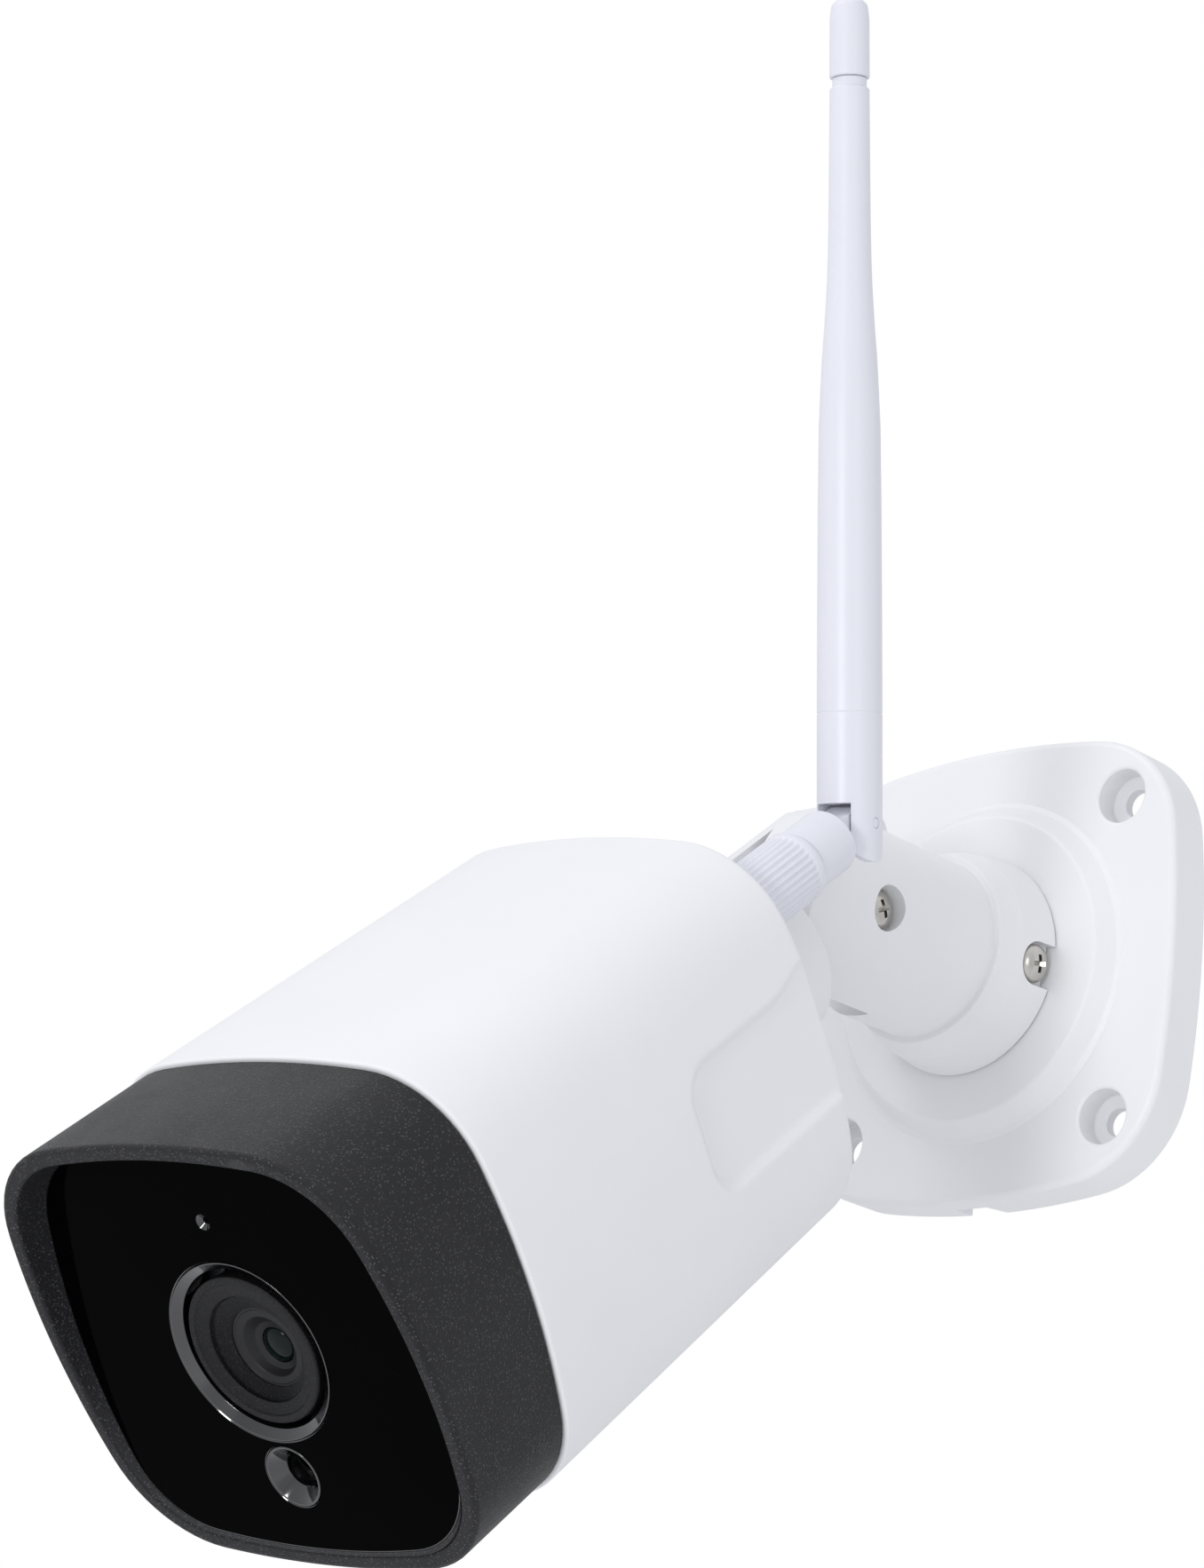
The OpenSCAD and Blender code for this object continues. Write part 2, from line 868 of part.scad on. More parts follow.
module antenna_base() color([0.86, 0.86, 0.93]) at_antenna() {
    tongue = 2.55;
    difference() {
        union() {
            along_y(96.3, 97.1, 2.85);
            along_y(97, ring_w + 1, 2.5);
            intersection() {
                along_y(ring_w + 0.3, hinge_w + 6, 4.75);
                union() {
                    translate([-6, ring_w + 0.3, -6])
                        cube([12, hinge_w - ear - 0.4 - ring_w - 0.3, 12]);
                    translate([-tongue, ring_w + 0.3, -2.6])
                        cube([2 * tongue, hinge_w - ring_w - 0.3, 5.2]);
                    translate([0, hinge_w, 0])
                        across_x(-tongue, tongue, 2.6);
                }
            }
        }
        translate([0, hinge_w, 0])
            across_x(-6, 6, 0.85);
    }
}

module antenna_pin() color("silver") at_antenna()
    translate([0, hinge_w, 0])
        across_x(-4.2, 4.2, 0.8);

module at_mast() {
    at_antenna()
        translate([0, hinge_w, 0])
            rotate([mast_angle - 90, 0, 0])
                children();
}

module antenna_mast() color([0.86, 0.86, 0.93]) at_mast()
    difference() {
        union() {
            rotate_extrude()
                polygon([[0, 3.4], [4.6, 3.4], [4.55, 20], [4.35, 56], [3.9, 66], [3.35, 74],
                    [3.1, 80], [2.95, 90], [2.8, mast_len - 13], [2.45, mast_len - 13],
                    [2.45, mast_len - 11.6], [0, mast_len - 11.6]]);
            // the fork's two ears, round about the pin
            intersection() {
                translate([0, 0, -ear])
                    cylinder(h = ear + 4, r = 4.6);
                union() {
                    across_x(-6, 6, ear);
                    translate([-6, -6, 0])
                        cube([12, 12, 6]);
                }
                for (x = [-5.85, 2.85])
                    translate([x, -6, -ear - 1])
                        cube([3, 12, 12]);
            }
        }
        across_x(-6, 6, 0.8);
        translate([0, 0, 2])
            cylinder(h = mast_len - 20, r = 1.6);
    }

module antenna_cap() color([0.86, 0.86, 0.93]) at_mast()
    rotate_extrude()
        polygon([[0, mast_len - 11.5], [2.85, mast_len - 11.5], [2.8, mast_len - 3],
            [2.5, mast_len - 1.3], [1.7, mast_len - 0.4], [0, mast_len]]);

module antenna_radiator() color([0.75, 0.45, 0.25]) at_mast() {
    translate([0, 0, 6])
        cylinder(h = 56, r = 1.1);
    translate([0, 0, 61.9])
        cylinder(h = 31, r = 0.6);
}

base_plate();
pan_yoke();
pan_lock_screw();
tilt_screw();
tilt_neck();
tilt_washer();
tilt_nut();
neck_nut();
neck_washer();
neck_seal();
rear_cover();
rear_cover_seal();
rear_cover_screws();
housing_shell();
front_bezel();
bezel_seal();
front_glass();
glass_seal();
lens_trim_ring();
lens_shroud();
lens_barrel();
lens_front_element();
lens_inner_elements();
lens_holder();
ir_cut_frame();
ir_cut_filter();
image_sensor();
sensor_board();
infrared_led();
led_bezel();
led_board();
chassis_plate();
chassis_screws();
microphone();
board_standoffs();
main_board();
heat_spreader();
wifi_module();
antenna_lead();
card_slot();
reset_switch();
reset_button();
card_cover();
card_cover_seal();
card_cover_screws();
antenna_connector();
connector_nut();
connector_washer();
antenna_ring();
antenna_base();
antenna_pin();
antenna_mast();
antenna_cap();
antenna_radiator();
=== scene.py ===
# Security camera with its wall bracket and antenna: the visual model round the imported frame.
# Shapes are in millimetres; ROW turns them into metres.
import json
import math

import bmesh
import bpy
from mathutils import Matrix, Vector

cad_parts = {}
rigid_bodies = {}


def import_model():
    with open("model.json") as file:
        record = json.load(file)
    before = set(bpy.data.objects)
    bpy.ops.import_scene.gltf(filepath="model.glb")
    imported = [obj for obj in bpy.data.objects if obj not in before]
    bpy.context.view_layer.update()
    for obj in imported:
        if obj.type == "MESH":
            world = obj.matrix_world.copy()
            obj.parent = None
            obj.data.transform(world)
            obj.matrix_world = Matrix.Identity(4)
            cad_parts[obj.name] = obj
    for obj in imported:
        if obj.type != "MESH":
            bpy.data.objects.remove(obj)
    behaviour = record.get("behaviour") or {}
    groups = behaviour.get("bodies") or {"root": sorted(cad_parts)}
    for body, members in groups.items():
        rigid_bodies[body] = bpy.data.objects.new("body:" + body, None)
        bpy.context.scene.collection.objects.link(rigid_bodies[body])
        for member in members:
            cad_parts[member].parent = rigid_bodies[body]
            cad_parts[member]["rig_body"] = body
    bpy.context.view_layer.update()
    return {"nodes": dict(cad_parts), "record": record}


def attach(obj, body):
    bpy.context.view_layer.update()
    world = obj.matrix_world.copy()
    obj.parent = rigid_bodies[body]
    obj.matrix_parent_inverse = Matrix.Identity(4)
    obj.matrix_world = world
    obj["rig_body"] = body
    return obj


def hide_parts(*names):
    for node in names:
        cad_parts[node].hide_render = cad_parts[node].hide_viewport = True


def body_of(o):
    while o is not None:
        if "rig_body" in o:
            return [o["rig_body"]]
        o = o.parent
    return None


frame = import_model()
N = frame["nodes"]
scene = bpy.context.scene
scene.view_settings.view_transform = "Standard"


# ---------------------------------------------------------------- frames, in millimetres
def T(x, y, z):
    return Matrix.Translation((x, y, z))


def RX(d):
    return Matrix.Rotation(math.radians(d), 4, "X")


def RY(d):
    return Matrix.Rotation(math.radians(d), 4, "Y")


ROW = Matrix.Scale(0.001, 4)
LEVEL = T(0, -47.6, 0) @ RX(41.3)                 # the elbow, as far down as the head looks
NECK = LEVEL @ T(0, -131.2, 0)                    # y counts back from the front glass
HEAD = LEVEL @ RY(6.5) @ T(0, -131.2, 0)
ANT = HEAD @ T(21, 0, 17.6)
HINGE_Y = 118
MAST = ANT @ T(0, HINGE_Y, 0) @ RX(-27)
PIVOT = T(0, -46.2, -2.3)                         # the tilt screw
LOCK = RY(8) @ T(0, -14.3, 0)                     # the pan lock screw
WALL = Matrix.Identity(4)
UP_TO_Y = RX(-90)                                 # local +Z to +Y
Y_TO_UP = RX(90)                                  # local +Y to +Z
Y_TO_X = Matrix.Rotation(math.radians(-90), 4, "Z")


# ---------------------------------------------------------------- mesh helpers
def fillet(pts, radii, n=4, closed=True):
    """Rounds the corners of a polyline; radii has one radius for each point."""
    out = []
    m = len(pts)
    for i, (p, r) in enumerate(zip(pts, radii)):
        if r <= 0 or (not closed and i in (0, m - 1)):
            out.append(tuple(p))
            continue
        a, b, c = Vector(pts[i - 1]), Vector(p), Vector(pts[(i + 1) % m])
        u, v = (a - b), (c - b)
        lu, lv = u.length, v.length
        u.normalize()
        v.normalize()
        half = math.acos(max(-1, min(1, u.dot(v)))) / 2
        if half > math.pi / 2 - 0.02:
            out.append(tuple(p))
            continue
        d = min(r / math.tan(half), lu * 0.49, lv * 0.49)
        r = d * math.tan(half)
        centre = b + (u + v).normalized() * (r / math.sin(half))
        s, e = b + u * d - centre, b + v * d - centre
        ang = math.pi - 2 * half
        for k in range(n + 1):
            t = k / n
            q = (s * math.sin((1 - t) * ang) + e * math.sin(t * ang)) / math.sin(ang)
            out.append(tuple(centre + q))
    return out


def loft(rings, closed=False):
    bm = bmesh.new()
    vs = [[bm.verts.new(p) for p in ring] for ring in rings]
    m = len(rings[0])
    pairs = list(zip(vs, vs[1:])) + ([(vs[-1], vs[0])] if closed else [])
    for a, b in pairs:
        for i in range(m):
            j = (i + 1) % m
            bm.faces.new((a[i], a[j], b[j], b[i]))
    if not closed:
        bm.faces.new(vs[0])
        bm.faces.new(list(reversed(vs[-1])))
    bmesh.ops.recalc_face_normals(bm, faces=bm.faces)
    return bm


def lathe(profile, n=96, closed=False, drift=None, wave=None):
    """Turns (radius, y) points round the y axis; a point of radius 0 closes an end."""
    bm = bmesh.new()
    rows = []
    for i, (r, y) in enumerate(profile):
        dz = drift(y) if drift else 0
        if r < 1e-6:
            rows.append([bm.verts.new((0, y, dz))])
            continue
        row = []
        for k in range(n):
            a = 2 * math.pi * k / n
            rr = r + (wave(i, a) if wave else 0)
            row.append(bm.verts.new((rr * math.cos(a), y, rr * math.sin(a) + dz)))
        rows.append(row)
    pairs = list(zip(rows, rows[1:])) + ([(rows[-1], rows[0])] if closed else [])
    for a, b in pairs:
        for i in range(n):
            j = (i + 1) % n
            if len(a) == 1 and len(b) == 1:
                continue
            if len(a) == 1:
                bm.faces.new((a[0], b[j], b[i]))
            elif len(b) == 1:
                bm.faces.new((a[i], a[j], b[0]))
            else:
                bm.faces.new((a[i], a[j], b[j], b[i]))
    if not closed:
        for row in (rows[0], rows[-1]):
            if len(row) > 1:
                bm.faces.new(row)
    bmesh.ops.recalc_face_normals(bm, faces=bm.faces)
    return bm


def rod(y0, y1, r, n=96):
    return lathe([(r, y0), (r, y1)], n)


def block(x0, x1, y0, y1, z0, z1):
    bm = bmesh.new()
    bmesh.ops.create_cube(bm, size=1)
    bmesh.ops.scale(bm, vec=(x1 - x0, y1 - y0, z1 - z0), verts=bm.verts)
    bmesh.ops.translate(bm, vec=((x0 + x1) / 2, (y0 + y1) / 2, (z0 + z1) / 2), verts=bm.verts)
    return bm


def prism(poly, y0, y1):
    """A prism of (x, z) points along y."""
    return loft([[(x, y0, z) for x, z in poly], [(x, y1, z) for x, z in poly]])


def moved(bm, m):
    bmesh.ops.transform(bm, matrix=m, verts=bm.verts)
    return bm


def merged(*bms):
    out = bmesh.new()
    for b in bms:
        me = bpy.data.meshes.new("t")
        b.to_mesh(me)
        b.free()
        out.from_mesh(me)
        bpy.data.meshes.remove(me)
    return out


def boolean(bm, other, op="DIFFERENCE"):
    objs = []
    for b in (bm, other):
        me = bpy.data.meshes.new("t")
        b.to_mesh(me)
        b.free()
        o = bpy.data.objects.new("t", me)
        scene.collection.objects.link(o)
        objs.append(o)
    mod = objs[0].modifiers.new("b", "BOOLEAN")
    mod.operation = op
    mod.solver = "EXACT"
    mod.object = objs[1]
    dg = bpy.context.evaluated_depsgraph_get()
    me = bpy.data.meshes.new_from_object(objs[0].evaluated_get(dg))
    out = bmesh.new()
    out.from_mesh(me)
    old = [o.data for o in objs]
    for o in objs:
        bpy.data.objects.remove(o)
    for x in old + [me]:
        bpy.data.meshes.remove(x)
    return out


def cut(bm, *others):
    for o in others:
        bm = boolean(bm, o)
    return bm


SLOT = {s["node"]: s["material_slot"] for s in frame["record"]["subparts"]}


def piece(name, bm, m, *nodes, bevel=0, sharp=35):
    """Puts the finished mesh in the scene in place of these CAD nodes."""
    bmesh.ops.remove_doubles(bm, verts=bm.verts, dist=0.0004)
    bmesh.ops.dissolve_degenerate(bm, dist=0.0004, edges=bm.edges)
    moved(bm, ROW @ m)
    bmesh.ops.recalc_face_normals(bm, faces=bm.faces)
    me = bpy.data.meshes.new(name)
    bm.to_mesh(me)
    bm.free()
    o = bpy.data.objects.new(name, me)
    scene.collection.objects.link(o)
    me.shade_smooth()
    me.set_sharp_from_angle(angle=math.radians(sharp))
    if bevel:
        b = o.modifiers.new("bevel", "BEVEL")
        b.width = bevel * 0.001
        b.segments = 3
        b.limit_method = "ANGLE"
        b.angle_limit = math.radians(40)
        b.use_clamp_overlap = True
        b.harden_normals = False
    w = o.modifiers.new("normals", "WEIGHTED_NORMAL")
    w.keep_sharp = True
    w.weight = 60
    s = SLOT[nodes[0]]
    me.materials.append(MATS[s])
    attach(o, body_of(N[nodes[0]])[0])
    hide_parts(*nodes)
    return o


def outline(a, b, sx, sz, r, n1=12, n2=12, n3=12):
    """A square with bulging sides and round corners, as (x, z) points."""
    ex, ez = a - sx, b - sz
    rz, rx = (ex * ex + sz * sz) / (2 * sz), (ez * ez + sx * sx) / (2 * sx)
    c1, c2 = Vector((0, b - rz)), Vector((a - rx, 0))
    d = (c2 - c1).length
    u = (c2 - c1) / d
    h = ((rz - r) ** 2 - (rx - r) ** 2 + d * d) / (2 * d)
    k = math.sqrt((rz - r) ** 2 - h * h)
    cc = c1 + u * h + Vector((u[1], -u[0])) * k
    a1 = math.atan2(cc[1] - c1[1], cc[0])
    a2 = math.atan2(cc[1], cc[0] - c2[0])
    q = [c2 + rx * Vector((math.cos(a2 * i / n1), math.sin(a2 * i / n1))) for i in range(n1)]
    q += [cc + r * Vector((math.cos(a2 + (a1 - a2) * i / n2), math.sin(a2 + (a1 - a2) * i / n2)))
          for i in range(n2)]
    e = math.pi / 2
    q += [c1 + rz * Vector((math.cos(a1 + (e - a1) * i / n3), math.sin(a1 + (e - a1) * i / n3)))
          for i in range(n3 + 1)]
    q = [(p[0], p[1]) for p in q]
    n = len(q) - 1
    return (q + [(-q[n - i][0], q[n - i][1]) for i in range(1, n + 1)]
            + [(-x, -z) for x, z in q[1:]]
            + [(q[n - i][0], -q[n - i][1]) for i in range(1, n)])


# ---------------------------------------------------------------- materials
def material(name, color, rough, metal=0.0, spec=0.5, grain=0.4, bump=0.1, vary=0.03, fleck=0.0,
             coat=0.0, edge_highlight=0.0, depth=0.05):
    """grain is the size of the texture in mm, depth its relief, vary its change in tone, fleck
    its lighter specks, and the last weight paints a highlight on the sharp edges."""
    m = bpy.data.materials.new(name)
    m.use_nodes = True
    nt = m.node_tree
    b = nt.nodes["Principled BSDF"]
    b.inputs["Metallic"].default_value = metal
    b.inputs["Specular IOR Level"].default_value = spec
    b.inputs["Coat Weight"].default_value = coat
    b.inputs["Coat Roughness"].default_value = 0.12
    b.inputs["IOR"].default_value = 1.45
    co = nt.nodes.new("ShaderNodeTexCoord")

    def noise(scale, detail=3.0, uneven=0.5):
        n = nt.nodes.new("ShaderNodeTexNoise")
        n.inputs["Scale"].default_value = scale
        n.inputs["Detail"].default_value = detail
        n.inputs["Roughness"].default_value = uneven
        nt.links.new(co.outputs["Object"], n.inputs["Vector"])
        return n

    def ramp(src, lo, hi, p0=0.35, p1=0.65):
        r = nt.nodes.new("ShaderNodeValToRGB")
        r.color_ramp.elements[0].position = p0
        r.color_ramp.elements[1].position = p1
        r.color_ramp.elements[0].color = (*lo, 1)
        r.color_ramp.elements[1].color = (*hi, 1)
        nt.links.new(src, r.inputs["Fac"])
        return r

    fine = noise(1000 / grain, 4.0, 0.6)
    broad = noise(45, 3.0)
    lo = [c * (1 - vary) for c in color]
    hi = [min(1, c * (1 + vary)) for c in color]
    base = ramp(broad.outputs["Fac"], lo, hi)
    out = base.outputs["Color"]

    def mix(a, factor, colour):
        x = nt.nodes.new("ShaderNodeMix")
        x.data_type = "RGBA"
        nt.links.new(a, x.inputs["A"])
        x.inputs["B"].default_value = (*colour, 1)
        nt.links.new(factor, x.inputs["Factor"])
        return x.outputs["Result"]

    if fleck:
        vo = nt.nodes.new("ShaderNodeTexVoronoi")
        vo.inputs["Scale"].default_value = 1000 / (grain * 1.6)
        nt.links.new(co.outputs["Object"], vo.inputs["Vector"])
        r = ramp(vo.outputs["Distance"], (1, 1, 1), (0, 0, 0), 0.08, 0.3)
        out = mix(out, r.outputs["Color"], [min(1, c + fleck) for c in color])
    # Painted highlight: sharp edges are lightened by pointiness, standing in for light catching the
    # edges.
    if edge_highlight:
        g = nt.nodes.new("ShaderNodeNewGeometry")
        r = ramp(g.outputs["Pointiness"], (0, 0, 0), (edge_highlight, edge_highlight, edge_highlight), 0.52, 0.6)
        out = mix(out, r.outputs["Color"], [min(1, c * 3 + 0.05) for c in color])
    nt.links.new(out, b.inputs["Base Color"])
    rr = nt.nodes.new("ShaderNodeMapRange")
    rr.inputs["To Min"].default_value = max(0.0, rough * 0.85)
    rr.inputs["To Max"].default_value = min(1.0, rough * 1.15)
    nt.links.new(noise(160, 4.0).outputs["Fac"], rr.inputs["Value"])
    nt.links.new(rr.outputs["Result"], b.inputs["Roughness"])
    bp = nt.nodes.new("ShaderNodeBump")
    bp.inputs["Strength"].default_value = bump
    bp.inputs["Distance"].default_value = depth * 0.001
    nt.links.new(fine.outputs["Fac"], bp.inputs["Height"])
    nt.links.new(bp.outputs["Normal"], b.inputs["Normal"])
    return m


MATS = {
    "white_paint": material("white_paint", (0.80, 0.805, 0.82), 0.42, grain=0.55, bump=0.35,
                            vary=0.008, depth=0.03),
    # The bezel's sharp edges carry a painted highlight (weight 0.25).
    "bezel_plastic": material("bezel_plastic", (0.0115, 0.0115, 0.0135), 0.42, spec=0.3, grain=0.28,
                              bump=1.0, vary=0.14, fleck=0.09, edge_highlight=0.25, depth=0.2),
    "black_glass": material("black_glass", (0.0008, 0.0008, 0.0009), 0.06, spec=0.012, grain=6,
                            bump=0.01, vary=0.1),
    "gloss_black": material("gloss_black", (0.004, 0.004, 0.005), 0.06, spec=0.9, grain=1.2,
                            bump=0.04, vary=0.08, coat=0.8),
    "grey_plastic": material("grey_plastic", (0.0065, 0.0065, 0.0075), 0.4, spec=0.25, grain=0.22,
                             bump=0.9, vary=0.1, fleck=0.03, depth=0.1),
    "black_plastic": material("black_plastic", (0.010, 0.010, 0.011), 0.42, spec=0.4, grain=0.3,
                              bump=0.35, vary=0.1),
    "lens_glass": material("lens_glass", (0.002, 0.006, 0.005), 0.04, spec=0.22, grain=3,
                           bump=0.0, vary=0.25),
    "filter_glass": material("filter_glass", (0.05, 0.25, 0.26), 0.05, spec=0.7, grain=3,
                             bump=0.02, vary=0.1, coat=0.5),
    "nickel_steel": material("nickel_steel", (0.60, 0.58, 0.54), 0.24, 1.0, grain=0.5, bump=0.12,
                             vary=0.06),
    "gold_brass": material("gold_brass", (0.78, 0.58, 0.27), 0.28, 1.0, grain=0.4, bump=0.1,
                           vary=0.06),
    "copper_wire": material("copper_wire", (0.62, 0.31, 0.17), 0.35, 1.0, grain=0.4, bump=0.2,
                            vary=0.1),
    "aluminium": material("aluminium", (0.62, 0.62, 0.64), 0.38, 1.0, grain=0.4, bump=0.2,
                          vary=0.04),
    "circuit_board": material("circuit_board", (0.02, 0.13, 0.06), 0.35, grain=1.5, bump=0.25,
                              vary=0.2, fleck=0.03),
    "chip_plastic": material("chip_plastic", (0.03, 0.028, 0.028), 0.3, grain=0.3, bump=0.2,
                             vary=0.1),
    "black_rubber": material("black_rubber", (0.012, 0.012, 0.012), 0.75, spec=0.3, grain=0.5,
                             bump=0.5, vary=0.15),
    "antenna_white": material("antenna_white", (0.735, 0.74, 0.80), 0.36, grain=0.5, bump=0.1,
                              vary=0.008, depth=0.02),
}
for s in frame["record"]["subparts"]:
    o = N[s["node"]]
    o.data.materials.clear()
    o.data.materials.append(MATS[s["material_slot"]])


# ---------------------------------------------------------------- housing
HALF_W, HALF_H, SEAM, REAR = 33.0, 31.6, 17.8, 88.2
SCOOP_HALF, SCOOP_R, SCOOP_DEPTH, SCOOP_EDGE = 9.2, 5.5, 1.3, 1.35
SCOOP_W = 62.2                                    # where the scoop's round front has its centre
FINE_FROM = 54                                    # closer rings for the scoop from here back


def share(w):
    """The size of the housing's section at depth w, against its front end."""
    return 1 - 0.045 * (w - SEAM) / (REAR - SEAM)


def ring(w, inset=0.0, k=1.0, lean=0.0, n1=12):
    """The outline at depth w, scaled by k and drawn in by inset; lean brings its top forward."""
    o = outline(HALF_W * k - inset, HALF_H * k - inset, 4.2, 2.9, 16.2 * k - inset, n1)
    return [(x, w - lean * z, z) for x, z in o]


def smooth(t):
    t = max(0.0, min(1.0, t))
    return t * t * (3 - 2 * t)


def scooped(p):
    """Moves a point of the flank in where the scoop is, open at the rear end."""
    x, w, z = p
    half = SCOOP_HALF + (2.0 * smooth((w - 79) / 9) if z > 0 else 0)
    q = math.hypot(max(SCOOP_W - w, 0), max(abs(z) - (half - SCOOP_R), 0))
    m = smooth((SCOOP_R - q + 0.2) / SCOOP_EDGE)
    floor = HALF_W * share(w) - SCOOP_DEPTH
    if m <= 0 or abs(x) < floor:
        return p
    return (math.copysign(abs(x) * (1 - m) + floor * m, x), w, z)


path = [(0, SEAM), (0, REAR), (2.6, REAR), (2.6, 82.2), (4.3, 82.2), (4.3, 81), (2.4, 81), (2.4, SEAM)]
path = fillet(path, [0.45, 2.35, 0.25, 0, 0, 0, 0, 0.2], 6)
rings = []
for (i0, w0), (i1, w1) in zip(path, path[1:] + path[:1]):
    rings.append((i0, w0))
    if abs(i0) < 1e-6 and abs(i1) < 1e-6 and w1 - w0 > 10:
        n = 20
        rings += [(0, w0 + (FINE_FROM - w0) * i / n) for i in range(1, n)]
        n = int((w1 - FINE_FROM) / 0.55)
        rings += [(0, FINE_FROM + (w1 - FINE_FROM) * i / n) for i in range(0, n)]
shell = loft([[scooped(p) if i < 2.5 else p for p in ring(w, i, share(w), n1=32)] for i, w in rings],
             closed=True)
shell = cut(shell, block(-11, 11, 50, 78, -40, -25))
piece("housing", shell, HEAD, "housing_shell", sharp=40)

COVER_SCREWS = (52.2, 75.8)
cover = loft([ring(w, 0, share(w), n1=24) for w in (46, 82)])
cover = boolean(cover, block(-10.85, 10.85, 50.15, 77.85, -50, -HALF_H * share(64) + 2.1), "INTERSECT")
for w in COVER_SCREWS:
    cover = cut(cover, moved(rod(-3, 20, 1.3, 32), T(0, w, -31) @ Y_TO_UP),
                moved(rod(-9, 1.3, 2.2, 48), T(0, w, -HALF_H * share(w)) @ Y_TO_UP))
piece("service_cover", cover, HEAD, "card_cover", bevel=0.25)

# ---------------------------------------------------------------- front bezel
LIP = 0.095                                       # how far the hood's edge leans, per mm of height
BACK, EDGE = 17.65, 2.79
pts = [(0.5, BACK), (0.18, -EDGE), (2.32, -EDGE), (2.97, 0.0), (2.97, 0.58), (2.42, 0.58),
       (2.42, 2.0), (4.6, 2.0), (4.6, 22.5), (2.6, 22.5), (2.6, BACK)]
pts = fillet(pts, [0.3, 0.75, 0.5, 0, 0, 0, 0, 0, 0.2, 0.2, 0], 6)
rings = []
for i, w in pts:
    f = max(0.0, min(1.0, (BACK - w) / 20.44 if i < 0.6 else -w / EDGE))
    if i >= 0.6 and w > -0.01:
        f = 0.0
    if i < 2.4 and w < -1.5:
        f = 1.0
    rings.append(ring(w, i, 1.0, LIP * f, n1=20))
piece("bezel", loft(rings, closed=True), HEAD, "front_bezel", sharp=50)

# ---------------------------------------------------------------- front glass
LENS = T(0, 0, -0.35)
INFRARED = T(0, 0, -18.1)
MICROPHONE = T(0, 0, 17.9)
glass = loft([ring(w, i, n1=10) for i, w in
              ((3.16, 0.0), (3.05, 0.03), (3.0, 0.14), (3.0, 0.57), (2.45, 0.57), (2.45, 1.5))])
holes = ((LENS, 96, [(12.86, -1), (12.86, -0.001), (12.68, 0.16), (12.68, 3)]),
         (INFRARED, 96, [(4.5, -1), (4.5, -0.001), (4.4, 0.1), (4.4, 3)]),
         (MICROPHONE, 48, [(1.2, -1), (1.1, 0), (0.5, 0.6), (0.5, 3)]))
glass = cut(glass, *[moved(lathe([(0, -1), *pts, (0, 3)], n), m) for m, n, pts in holes])
pane = piece("glass_panel", glass, HEAD, "front_glass", sharp=20)
pane.data.materials.append(MATS["gloss_black"])
facing = HEAD.to_3x3() @ Vector((0, -1, 0))
for f in pane.data.polygons:
    if abs(f.normal.dot(facing)) < 0.985:
        f.material_index = 1

# ---------------------------------------------------------------- lens
trim = lathe(fillet([(12.6, 0.0), (12.45, 0.0), (11.35, 0.85), (11.3, 0.95), (11.3, 3.4), (12.6, 3.4)],
                    [0.1, 0.12, 0.15, 0, 0, 0], 4), 128, closed=True)
piece("lens_ring", trim, HEAD @ LENS, "lens_trim_ring", sharp=30)


def sag(y):
    """How far a lens ring at depth y lies below the front one."""
    return -0.43 * max(0.0, y - 0.5) * 0.9


prof = fillet([(10.4, 9.0), (10.4, 0.6), (9.35, 0.6), (9.2, 0.78), (7.65, 1.2), (7.5, 1.3), (7.4, 1.9)],
              [0, 0.35, 0.12, 0.1, 0.12, 0.08, 0], 4, closed=False)
steps = 9
for i in range(steps):
    r = 7.4 - 1.75 * i / steps
    y = 1.9 + 1.1 * i / steps
    prof += [(r, y), (r - 0.12, y + 0.02), (r - 0.16, y + 0.1)]
prof += [(5.6, 3.0), (5.6, 3.3), (6.9, 3.4), (6.9, 9.0)]
hood = lathe(prof, 128, closed=True, drift=lambda y: sag(min(y, 3.4)))
piece("lens_hood", hood, HEAD @ LENS, "lens_shroud", sharp=25)
prof = fillet([(6.8, 3.6), (5.55, 3.12), (5.35, 3.12), (5.2, 3.3), (4.3, 3.45), (4.15, 3.6), (3.4, 4.6),
               (2.5, 4.9), (2.4, 19.5), (6.8, 19.5)], [0.1, 0.1, 0.1, 0.1, 0.1, 0.1, 0.1, 0.1, 0, 0], 3)
barrel = lathe(prof, 96, closed=True, drift=lambda y: sag(min(y, 4.9)))
piece("lens_tube", barrel, HEAD @ LENS, "lens_barrel", sharp=30)
arc = [math.pi / 2 * i / 8 for i in range(1, 9)]
dome = [(0, 4.35)] + [(2.45 * math.sin(a), 4.35 + 0.75 * (1 - math.cos(a))) for a in arc]
dome += [(2.45, 7.3), (0, 7.3)]
piece("lens_front", moved(lathe(dome, 64), T(0, 0, sag(4.9))), HEAD @ LENS, "lens_front_element")

# ---------------------------------------------------------------- infrared window
prof = fillet([(4.3, 0.0), (4.0, 0.0), (2.45, 1.9), (2.4, 2.4), (2.4, 4.4), (4.3, 4.4)],
              [0.1, 0.15, 0.2, 0, 0, 0], 4)
piece("infrared_ring", lathe(prof, 96, closed=True), HEAD @ INFRARED, "led_bezel")

# ---------------------------------------------------------------- rear cover
plate = loft([ring(w, 2.75 + i, share(85), n1=12) for i, w in ((0, 83.1), (0, 85.4), (0.25, 85.6))])
REAR_SCREWS = ((0, 24.2), (25.6, 0), (0, -24.2), (-25.6, 0))
boss = lathe(fillet([(0, 84), (17.2, 84), (17.2, 85.6), (16.5, 86.1), (16.5, 90.4), (0, 90.4)],
                    [0, 0, 0.1, 0.4, 0.5, 0], 4, closed=False))
rear = boolean(plate, boss, "UNION")
rear = cut(rear, rod(70, 100, 9.02),
           lathe([(12.1, 89.4), (12.1, 92), (10.9, 92), (10.9, 89.4)], 96, True),
           moved(rod(70, 100, 3.25, 48), T(21, 0, 17.6)))
seat = [(0, 70), (1.5, 70), (1.5, 84.3), (2.7, 84.3), (2.7, 85.35), (2.9, 85.61), (2.9, 100), (0, 100)]
